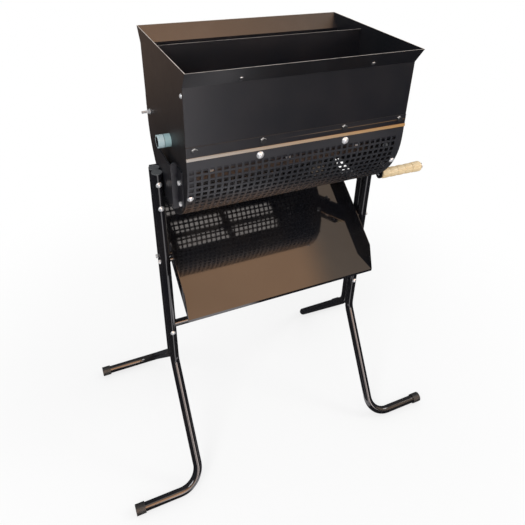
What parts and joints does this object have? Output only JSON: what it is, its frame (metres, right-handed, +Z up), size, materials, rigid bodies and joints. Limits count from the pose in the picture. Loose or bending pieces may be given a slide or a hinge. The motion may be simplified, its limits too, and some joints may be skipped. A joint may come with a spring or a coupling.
{
  "type": "rotary soil sieve",
  "caption": "Hand-cranked soil sieve: divided steel hopper with a paddle shaft over a half-round perforated screen, sloping chute and bent-tube stand.",
  "frame": {"origin": "on the floor, at the middle of the box that holds the whole part", "axes": "+X along the shaft towards the crank, +Y to the rear, +Z up"},
  "size_m": [0.966, 0.56, 1.209],
  "materials": {
    "hopper_paint": "gloss black stove enamel on sheet steel",
    "screen_paint": "satin black paint on perforated sheet",
    "stand_paint": "gloss black powder coat on tube",
    "chute_paint": "gloss dark brown-black enamel",
    "strip_steel": "bronze-tinted bare strip",
    "zinc": "bright zinc plate",
    "shaft_steel": "plain steel",
    "bush_plastic": "pale blue-grey pipe plastic",
    "cap_rubber": "black moulded cap",
    "plug_plastic": "dark grey plastic",
    "wood": "clear-lacquered beech"
  },
  "bodies": {
    "stand": {"left_side_plate": "hopper_paint", "right_side_plate": "hopper_paint", "front_wall": "hopper_paint", "rear_wall": "hopper_paint", "divider": "hopper_paint", "screen": "screen_paint", "front_strip": "strip_steel", "rear_strip": "strip_steel", "left_bush": "bush_plastic", "right_bush": "bush_plastic", "left_bush_nut": "bush_plastic", "right_bush_nut": "bush_plastic", "stand_screws": "zinc", "stand_nuts": "zinc", "bracket_screws": "zinc", "chute_screws": "zinc", "chute_bosses": "zinc", "screen_dome_screws": "zinc", "screen_side_screws": "zinc", "strip_screws": "zinc", "hopper_corner_screws": "zinc", "rim_screws": "zinc", "rear_stop_screws": "zinc", "left_front_leg": "stand_paint", "left_rear_leg": "stand_paint", "right_front_leg": "stand_paint", "right_rear_leg": "stand_paint", "cross_tube": "stand_paint", "left_bracket": "stand_paint", "right_bracket": "stand_paint", "foot_cap_front_left": "cap_rubber", "foot_cap_rear_left": "cap_rubber", "foot_cap_front_right": "cap_rubber", "foot_cap_rear_right": "cap_rubber", "tube_plugs": "plug_plastic", "chute": "chute_paint"},
    "rotor": {"shaft": "shaft_steel", "paddle_front": "shaft_steel", "paddle_rear": "shaft_steel", "paddle_screws": "zinc", "left_collar": "zinc", "right_collar": "zinc", "crank": "stand_paint", "crank_nut": "zinc", "handle_spindle": "zinc"},
    "grip": {"handle_grip": "wood"}
  },
  "joints": [
    {"name": "crank_turn", "type": "hinge", "parent": "stand", "child": "rotor", "pos_m": [0, -0.0875, 1.0215], "axis": [1, 0, 0], "continuous": true},
    {"name": "grip_spin", "type": "hinge", "parent": "rotor", "child": "grip", "pos_m": [0.38, -0.0875, 0.8265], "axis": [1, 0, 0], "continuous": true}
  ]
}
